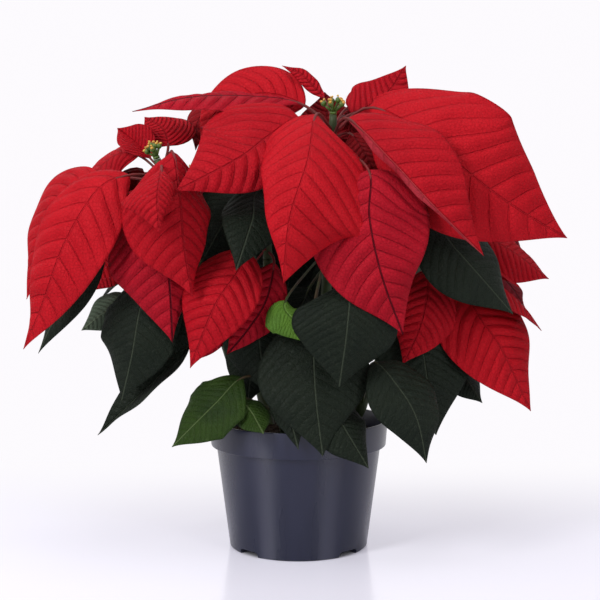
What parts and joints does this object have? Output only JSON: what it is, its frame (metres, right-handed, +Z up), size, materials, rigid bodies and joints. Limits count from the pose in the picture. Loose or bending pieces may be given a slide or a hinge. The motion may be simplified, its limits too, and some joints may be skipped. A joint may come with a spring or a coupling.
{
  "type": "potted poinsettia",
  "caption": "Red poinsettia houseplant with dark green leaves in a round plastic nursery pot, free standing, for interior decoration.",
  "frame": {"origin": "centre of the flat disc under the pot, on the surface that the pot stands on", "axes": "+Z up; the plant's best side, with the long front bract, faces -Y; +X to the right seen from there"},
  "size_m": [0.3905, 0.2989, 0.3543],
  "materials": {
    "pot_plastic": "satin dark blue grey moulded plastic",
    "soil": "rough dark peat",
    "green_leaf": "soft dark green leaf with paler veins",
    "red_bract": "velvety red leaf with raised veins",
    "flower": "small green cups with yellow tops"
  },
  "bodies": {
    "root": {"pot": "pot_plastic", "soil": "soil", "leafy_stem_front_tall": "green_leaf", "bracts_front_tall": "red_bract", "flowers_front_tall": "flower", "leafy_stem_left": "green_leaf", "bracts_left": "red_bract", "flowers_left": "flower", "leafy_stem_right": "green_leaf", "bracts_right": "red_bract", "flowers_right": "flower", "leafy_stem_front_low": "green_leaf", "bracts_front_low": "red_bract", "flowers_front_low": "flower", "leafy_stem_back": "green_leaf", "bracts_back": "red_bract", "flowers_back": "flower", "leafy_stem_back_left": "green_leaf", "bracts_back_left": "red_bract", "flowers_back_left": "flower", "leafy_stem_back_right": "green_leaf", "bracts_back_right": "red_bract", "flowers_back_right": "flower"}
  },
  "joints": []
}
